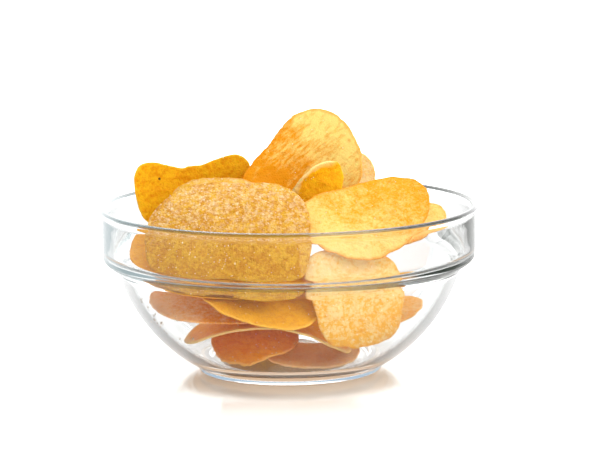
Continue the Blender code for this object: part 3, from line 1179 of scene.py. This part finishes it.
@dataclass
class Heap:
    """All the crisps in the bowl."""

    finishes: dict[str, FriedFinish] = field(default_factory=lambda: {
        "crisp_back_left": FriedFinish(Tone.GOLD, 0.45, freckles=0.2, rim=0.5, grain=0.75,
                                       edge=(0.88, 0.50, 0.03), spot=(-12.4, 12.6, 0.7)),
        # the two front crisps carry a painted sheen highlight on their upper parts
        "crisp_behind_front": FriedFinish(Tone.HONEY, 0.0, painted_sheen=0.7, painted_sheen_at=(-20, 5)),
        "crisp_front": FriedFinish(Tone.HONEY, 0.5, painted_sheen=0.85, painted_sheen_at=(-6, 12), pits=1.6,
                                   grain=0.75, rough=0.5, gloss=0.15, rim=0.1, depth=0.75),
        # painted highlight to the right and upwards, painted shade to the lower left
        "crisp_peak": FriedFinish(Tone.YELLOW, 0.6, lean=-0.03, fall=-0.02, stretch=3.2,
                                  turn=-40, rim=0.6),
        # pale edge: a painted highlight along its upper lip
        "crisp_curl": FriedFinish(Tone.GOLD, 0.4, rim=0.95, edge=(0.90, 0.66, 0.26),
                                  edge_width=3.0, painted_highlight_side=(-0.6, 0.8)),
        "crisp_peak_back": FriedFinish(Tone.BUTTER, 0.2, freckles=0.05),
        "crisp_right": FriedFinish(Tone.SUN, 0.4, lean=0.01, fall=0.03, rim=0.7),
        "crisp_right_tip": FriedFinish(Tone.SUN, 0.0, rim=0.5),
        "crisp_front_right": FriedFinish(Tone.CREAM, 0.42, fall=-0.03, freckles=0.35, rim=0.5,
                                         grain=0.8),
        "crisp_low_right": FriedFinish(Tone.CREAM, 0.6, rim=0.3),
        "crisp_shelf": FriedFinish(Tone.AMBER, 0.2, rim=0.2),
        # pale edge: a painted highlight along its rim
        "crisp_ledge": FriedFinish(Tone.AMBER, 0.2, rim=0.5, edge=(0.88, 0.50, 0.08)),
        "crisp_under_ledge": FriedFinish(Tone.BLUSH, 0.7, lean=0.03, rim=0.2),
        # pale edge: a painted highlight along its rim
        "crisp_arch": FriedFinish(Tone.RUST, 0.3, rim=0.9, edge=(0.93, 0.66, 0.25),
                                  edge_width=2.2),
        # pale edge: a painted highlight along its rim
        "crisp_low_front": FriedFinish(Tone.RUST, 0.3, rim=0.6, edge=(0.92, 0.55, 0.18)),
        "crisp_floor": FriedFinish(Tone.PEACH, 0.3, rim=0.1),
    })
    hidden: FriedFinish = FriedFinish(Tone.GOLD, 0.5)
    crisps: list[Crisp] = field(init=False, default_factory=list)

    def build(self) -> list[bpy.types.Object]:
        """Builds every crisp over its CAD node.

        Returns:
            The pieces.
        """
        groups = {"cooked": cooked_and_shade_group(), "browning": browning_group(),
                  "freckles": freckle_group(), "relief": relief_group()}
        pieces = []
        for seed, node in enumerate(sorted(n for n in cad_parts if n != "bowl"), start=1):
            crisp = Crisp(node, self.finishes.get(node, self.hidden), seed)
            pieces.append(crisp.build(groups))
            self.crisps.append(crisp)
        return pieces


# ---------------------------------------------------------------------------------------
# The bowl
# ---------------------------------------------------------------------------------------


@dataclass
class GlassBowl:
    """The turned glass bowl, with a round rim and a plain stacking band."""

    wall: float = 3.0
    rim_wall: float = 2.3
    collar_drop: float = 0.9  # how far the collar lies inside the rim
    band_top: float = 12.5  # heights below the rim's crown
    band_bottom: float = 20.0
    band_stand: float = 0.0  # how far the band stands out of the collar
    body_arc: float = 62.0
    body_slopes: tuple[float, float] = (28.0, 74.0)
    foot_radius: float = 34.6
    foot_rounding: float = 1.4
    foot_ring: tuple[float, float] = (3.2, 5.0)  # inset of its inner edge, and of the hollow
    punt: float = 0.5  # how far the underside is hollowed
    floor: float = 5.0
    floor_radius: float = 29.0
    floor_slope: float = 33.0
    floor_fillet: tuple[float, float] = (4.0, 0.45)  # its run and rise
    ledge: tuple[float, float] = (1.6, 2.1)  # how far in the stacking ledge stands, and its rise
    collar_in: tuple[float, float] = (1.3, 0.6)  # how far in the collar stands, low and high
    turns: int = 240
    finish: ClearGlass = ClearGlass()

    def __post_init__(self) -> None:
        """Takes the outer radius and height from the CAD bowl."""
        low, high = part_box("bowl")
        self.radius = high.x / MM
        self.height = high.z / MM
        leave = math.radians(self.body_slopes[0])
        self.centre = (self.foot_radius - self.body_arc * math.sin(leave),
                       self.foot_rounding + self.body_arc * math.cos(leave))

    @staticmethod
    def arc(centre: tuple[float, float], radius: float, start: float, end: float,
            steps: int) -> list[tuple[float, float]]:
        """Points on an arc.

        Args:
            centre: Radius and height of the arc's centre.
            radius: The arc's radius.
            start: Its first angle in degrees, from level outwards.
            end: Its last angle.
            steps: How many points.

        Returns:
            Points of radius and height.
        """
        angles = np.radians(np.linspace(start, end, steps))
        return [(centre[0] + radius * math.cos(a), centre[1] + radius * math.sin(a))
                for a in angles]

    @staticmethod
    def rounded(corners: list[tuple[float, float, float]],
                steps: int = 7) -> list[tuple[float, float]]:
        """A line through corners that are eased by curves.

        Args:
            corners: Radius, height and length of the easing of each corner.
            steps: Points on each easing.

        Returns:
            Points of radius and height.
        """
        points = [corners[0][:2]]
        for before, corner, after in zip(corners, corners[1:], corners[2:]):
            here = np.array(corner[:2])
            ways = [np.array(p[:2]) - here for p in (before, after)]
            spans = [np.linalg.norm(w) for w in ways]
            start, end = (here + w / s * min(corner[2], 0.48 * s) for w, s in zip(ways, spans))
            for t in np.linspace(0, 1, steps):
                points.append(tuple((1 - t) ** 2 * start + 2 * t * (1 - t) * here + t**2 * end))
        points.append(corners[-1][:2])
        return points

    def body(self, radius: float, slopes: tuple[float, float],
             steps: int) -> list[tuple[float, float]]:
        """The body's curve in section, from low to high."""
        return self.arc(self.centre, radius, slopes[0] - 90, slopes[1] - 90, steps)

    def outside(self) -> list[tuple[float, float]]:
        """Section of the outside.

        Returns:
            Points from the rim's crown down to the middle of the underside.
        """
        half = self.rim_wall / 2
        rim = self.arc((self.radius - half, self.height - half), half, 90, -25, 12)
        collar = self.radius - self.collar_drop
        crest = collar + self.band_stand
        top, bottom = self.height - self.band_top, self.height - self.band_bottom
        body = self.body(self.body_arc, self.body_slopes, 36)[::-1]
        band = self.rounded([
            (*rim[-1], 0.0),
            (collar, self.height - 3.2, 1.0),
            (collar, top + 0.3, 0.5),
            (crest, top - 0.4, 0.6),
            (crest, bottom, 1.5),
            (*body[0], 1.5),
            (*body[2], 0.0),
        ])
        foot = self.arc((self.foot_radius - self.foot_rounding / 2, self.foot_rounding),
                        self.foot_rounding, -50, -90, 6)
        ring, hollow = (self.foot_radius - inset for inset in self.foot_ring)
        underside = self.rounded([(*foot[-1], 0.0), (ring, 0.0, 1.0), (hollow, self.punt, 1.5),
                                  (0.0, self.punt, 0.0)])
        return rim + band[1:-1] + body[2:] + foot + underside[1:]

    def inside(self) -> list[tuple[float, float]]:
        """Section of the inside.

        Returns:
            Points from the middle of the floor up to the rim.
        """
        top, bottom = self.height - self.band_top, self.height - self.band_bottom
        body = self.body(self.body_arc - self.wall, (self.floor_slope, self.body_slopes[1]), 30)
        half = self.rim_wall / 2
        inner = self.radius - self.rim_wall
        rim = self.arc((self.radius - half, self.height - half), half, 185, 96, 9)
        run, rise = self.floor_fillet
        floor = self.rounded([(0.0, self.floor, 0.0), (self.floor_radius, self.floor, 3.0),
                              (self.floor_radius + run, self.floor + rise, 1.8), (*body[1], 0.0)])
        ledge_in, ledge_rise = self.ledge
        low_in, high_in = self.collar_in
        collar = self.rounded([
            (*body[-2], 0.0), (*body[-1], 2.0),
            (inner - ledge_in, bottom + ledge_rise, 1.8),
            (inner - low_in, top, 3.0),
            (inner - high_in, self.height - 4.0, 3.0),
            (*rim[0], 0.0)])
        return floor[:-1] + body[1:-2] + collar[:-1] + rim

    def build(self) -> bpy.types.Object:
        """Turns the section round the upright axis.

        Returns:
            The piece, which stands for the CAD bowl.
        """
        section = np.array(self.outside() + self.inside())
        section = section[section[:, 0] > 1e-6]
        n = self.turns
        turn = np.arange(n) * 2 * math.pi / n
        ring = np.stack([np.cos(turn), np.sin(turn)], axis=1)
        rows = section[:, :1, None] * ring[None]
        heights = np.broadcast_to(section[:, 1:, None], (len(section), n, 1))
        points = np.concatenate([rows, heights], axis=2).reshape(-1, 3)
        under_hub, over_hub = len(points), len(points) + 1
        points = np.vstack([points, [(0.0, 0.0, self.punt), (0.0, 0.0, self.floor)]])
        split = len(self.outside()) - 1
        faces = grid_faces(split, n, 0) + grid_faces(len(section) - split, n, split * n)
        crown = (len(section) - 1) * n
        under, over = (split - 1) * n, split * n
        for i in range(n):
            k = (i + 1) % n
            faces += [(crown + i, i, k, crown + k), (under_hub, under + k, under + i),
                      (over_hub, over + i, over + k)]
        piece = make_object("glass_bowl", points, faces)
        piece.data.materials.append(self.finish.material("clear_glass"))
        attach(piece, BODY)
        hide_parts("bowl")
        return piece


# ---------------------------------------------------------------------------------------
# Salt and crumbs
# ---------------------------------------------------------------------------------------


@dataclass
class Grains:
    """Small irregular bits of one kind, in a single piece."""

    name: str
    finish: GrainFinish
    sizes: tuple[float, float]
    seed: int
    slimness: float = 0.6  # the least that a bit may measure one way, as a share of another
    wear: float = 0.16  # how far its corners stray, as a share of its size

    def build(self, spots: np.ndarray) -> bpy.types.Object:
        """Builds a bit at each spot.

        Args:
            spots: Places of the bits, in millimetres.

        Returns:
            The piece.
        """
        rng = np.random.default_rng(self.seed)
        corners = np.array([(x, y, z) for x in (-1, 1) for y in (-1, 1) for z in (-1, 1)]) / 2
        sides = ((0, 1, 3, 2), (4, 6, 7, 5), (0, 4, 5, 1), (2, 3, 7, 6), (0, 2, 6, 4), (1, 5, 7, 3))
        points, faces = [], []
        for spot in spots:
            turned = np.linalg.qr(rng.normal(size=(3, 3)))[0]
            size = rng.uniform(*self.sizes) * rng.uniform(self.slimness, 1.0, 3)
            bit = (corners + rng.uniform(-self.wear, self.wear, (8, 3))) * size
            first = 8 * len(points)
            points.append(bit @ turned + spot)
            flip = 1 if np.linalg.det(turned) > 0 else -1
            faces += [tuple(first + k for k in side[::flip]) for side in sides]
        piece = make_object(self.name, np.vstack(points), faces)
        piece.data.shade_flat()
        piece.data.materials.append(self.finish.material(self.name))
        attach(piece, BODY)
        return piece


@dataclass
class Salt:
    """Salt on the outward sides of the crisps."""

    counts: dict[str, int] = field(default_factory=lambda: {
        "crisp_front": 200, "crisp_front_right": 60, "crisp_peak": 30, "crisp_right": 40,
        "crisp_back_left": 6, "crisp_low_front": 40, "crisp_arch": 30, "crisp_ledge": 40})
    else_count: int = 12
    raised: float = 0.08  # how far a grain's middle stands out of the skin
    seed: int = 71

    def spots(self, crisps: list[Crisp]) -> np.ndarray:
        """Places for the grains.

        Args:
            crisps: The built crisps.

        Returns:
            A place for each grain, half sunk into the skin.
        """
        rng = np.random.default_rng(self.seed)
        found = []
        for crisp in crisps:
            count = self.counts.get(crisp.node, self.else_count)
            rows, columns = crisp.points.shape[:2]
            ring = (rows * np.sqrt(rng.uniform(0.002, 0.98, count))).astype(int)
            turn = rng.integers(0, columns, count)
            found.append(crisp.points[ring, turn] + self.raised * crisp.normals[ring, turn])
        return np.vstack(found)

    def build(self, crisps: list[Crisp]) -> bpy.types.Object:
        """Builds all the salt as one piece."""
        finish = GrainFinish((0.84, 0.70, 0.44), (0.92, 0.84, 0.66), 0.5)
        return Grains("salt", finish, (0.15, 0.33), self.seed).build(self.spots(crisps))


@dataclass
class Crumbs:
    """Crumbs that cling to the inside of the glass, low on the left."""

    count: int = 26
    azimuth: tuple[float, float] = (-86.0, -40.0)  # 0 to the front, + to the right
    height: tuple[float, float] = (15.0, 33.0)
    off_glass: float = 0.35
    seed: int = 83

    def build(self, bowl: GlassBowl) -> bpy.types.Object:
        """Builds all the crumbs as one piece, on the bowl's inner side.

        Args:
            bowl: The bowl that they cling to.

        Returns:
            The piece.
        """
        rng = np.random.default_rng(self.seed)
        turn = np.radians(rng.uniform(*self.azimuth, self.count))
        height = rng.uniform(*self.height, self.count)
        line = np.array(bowl.body(bowl.body_arc - bowl.wall, bowl.body_slopes, 40))
        radius = np.interp(height, line[:, 1], line[:, 0]) - self.off_glass
        spots = np.stack([radius * np.sin(turn), -radius * np.cos(turn), height], axis=1)
        finish = GrainFinish((0.34, 0.22, 0.10), (0.55, 0.40, 0.22), 0.7)
        return Grains("crumbs", finish, (0.3, 0.75), self.seed).build(spots)


# ---------------------------------------------------------------------------------------
# The studio
# ---------------------------------------------------------------------------------------


@dataclass(frozen=True)
class SoftBox:
    """A rectangular lamp, placed by azimuth (0 to the front, + to the right) and elevation."""

    name: str
    azimuth: float
    elevation: float
    distance: float
    width: float
    height: float
    watts: float
    colour: Colour = (1.0, 1.0, 1.0)

    def build(self, aim: Vector) -> bpy.types.Object:
        """Hangs the lamp, facing the aim.

        Args:
            aim: Point in metres that the lamp looks at.

        Returns:
            The lamp's object.
        """
        lamp = bpy.data.lights.new(self.name, "AREA")
        lamp.shape = "RECTANGLE"
        lamp.size, lamp.size_y = self.width, self.height
        lamp.energy = self.watts
        lamp.color = self.colour
        holder = bpy.data.objects.new(self.name, lamp)
        bpy.context.scene.collection.objects.link(holder)
        a, e = math.radians(self.azimuth), math.radians(self.elevation)
        way = Vector((math.sin(a) * math.cos(e), -math.cos(a) * math.cos(e), math.sin(e)))
        holder.location = aim + way * self.distance
        holder.rotation_mode = "QUATERNION"
        holder.rotation_quaternion = way.to_track_quat("Z", "Y")
        holder.visible_camera = False
        return holder


@dataclass(frozen=True)
class Card:
    """A tall card in the surroundings, seen in the glass and not by the lens."""

    azimuth: float
    half_width: float
    edge: float
    colour: Colour


@dataclass
class Studio:
    """Floor, surroundings, lamps and camera."""

    floor_half: float = 9.0  # metres
    cards: tuple[Card, ...] = (
        Card(0.0, 42.0, 10.0, (0.12, 0.12, 0.13)),
        Card(88.0, 38.0, 8.0, (0.42, 0.43, 0.41)),
        Card(-88.0, 38.0, 8.0, (0.66, 0.71, 0.72)),
    )
    boxes: tuple[SoftBox, ...] = (
        SoftBox("key", 50.0, 38.0, 1.3, 1.0, 0.8, 10.0),
        SoftBox("top", 170.0, 66.0, 1.4, 1.4, 1.1, 12.0),
    )
    camera_distance: float = 0.950
    camera_height: float = 0.2077
    yaw: float = 0.39  # degrees to the right
    pitch: float = 9.39  # degrees down
    roll: float = 0.63  # degrees; the picture's right side rises
    lens: float = 149.2
    ambient: float = 1.0
    fill: float = 0.95  # how bright the room is for the light that it sheds
    backing: float = 2.6  # and as seen through and in the glass
    ceiling: tuple[float, float] = (0.88, 0.96)  # steepness above which the cards end
    aim: float = 0.05  # height in metres that the lamps look at

    def floor(self) -> bpy.types.Object:
        """The white table top.

        Returns:
            Its object.
        """
        s = self.floor_half
        corners = np.array([(-s, -s, 0), (s, -s, 0), (s, s, 0), (-s, s, 0)]) / MM
        floor = make_object("studio_floor", corners, [(0, 1, 2, 3)])
        floor.data.materials.append(StudioFloorFinish().material("white_table"))
        floor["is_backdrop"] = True
        return floor

    def surroundings(self) -> None:
        """A bright room with darker cards, which the lens sees as plain white."""
        world = bpy.data.worlds.new("studio")
        bpy.context.scene.world = world
        world.use_nodes = True
        shade = Shade(world.node_tree)
        sky = world.node_tree.nodes["Background"]
        way = shade.node("TexCoord").outputs["Generated"]
        level = shade.node("VectorMath", {0: way, 1: (1, 1, 0)}, operation="MULTIPLY").outputs[0]
        level = shade.node("VectorMath", {0: level}, operation="NORMALIZE").outputs[0]
        colour = rgba((self.backing,) * 3)
        for card in self.cards:
            a = math.radians(card.azimuth)
            toward = shade.node("VectorMath", {0: level, 1: (math.sin(a), -math.cos(a), 0)},
                                operation="DOT_PRODUCT").outputs["Value"]
            outer = math.cos(math.radians(min(180.0, card.half_width + card.edge)))
            inner = math.cos(math.radians(card.half_width))
            colour = shade.mix(shade.ramp(toward, outer, inner), colour, rgba(card.colour))
        high = shade.ramp(shade.parts(way)[2], *self.ceiling)
        colour = shade.mix(high, colour, rgba((self.backing,) * 3))
        path = shade.node("LightPath")
        shed = shade.maths("GREATER_THAN", path.outputs["Diffuse Depth"], 0.5)
        colour = shade.mix(shed, colour, rgba((self.fill,) * 3))
        colour = shade.mix(path.outputs["Is Camera Ray"], colour, rgba((1.0, 1.0, 1.0)))
        shade.feed(sky.inputs["Color"], colour)
        sky.inputs["Strength"].default_value = self.ambient

    def camera(self) -> bpy.types.Object:
        """The camera at the front, looking slightly down.

        Returns:
            Its object.
        """
        data = bpy.data.cameras.new("camera")
        data.lens = self.lens
        data.sensor_width = 36.0
        data.clip_end = 50.0
        camera = bpy.data.objects.new("camera", data)
        bpy.context.scene.collection.objects.link(camera)
        spin = (Matrix.Rotation(math.radians(-self.yaw), 4, "Z")
                @ Matrix.Rotation(math.radians(90.0 - self.pitch), 4, "X")
                @ Matrix.Rotation(math.radians(-self.roll), 4, "Z"))
        place = Matrix.Translation((0, -self.camera_distance, self.camera_height))
        camera.matrix_world = place @ spin
        bpy.context.scene.camera = camera
        return camera

    def build(self) -> None:
        """Sets up the floor, surroundings, lamps and camera."""
        self.floor()
        self.surroundings()
        for box in self.boxes:
            box.build(Vector((0.0, 0.0, self.aim)))
        self.camera()
        bpy.context.scene.view_settings.view_transform = "Standard"


def main() -> None:
    """Builds the scene and reports its pieces."""
    logging.basicConfig(level=logging.INFO, format="%(name)s: %(message)s")
    Studio().build()
    bowl, heap = GlassBowl(), Heap()
    pieces = [bowl.build(), *heap.build(), Salt().build(heap.crisps), Crumbs().build(bowl)]
    for piece in pieces:
        log.info("%s, %d faces", piece.name, len(piece.data.polygons))
    boxes = [[list(corner) for corner in box] for box in (CAD_BOX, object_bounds())]


if __name__ == "__main__":
    main()
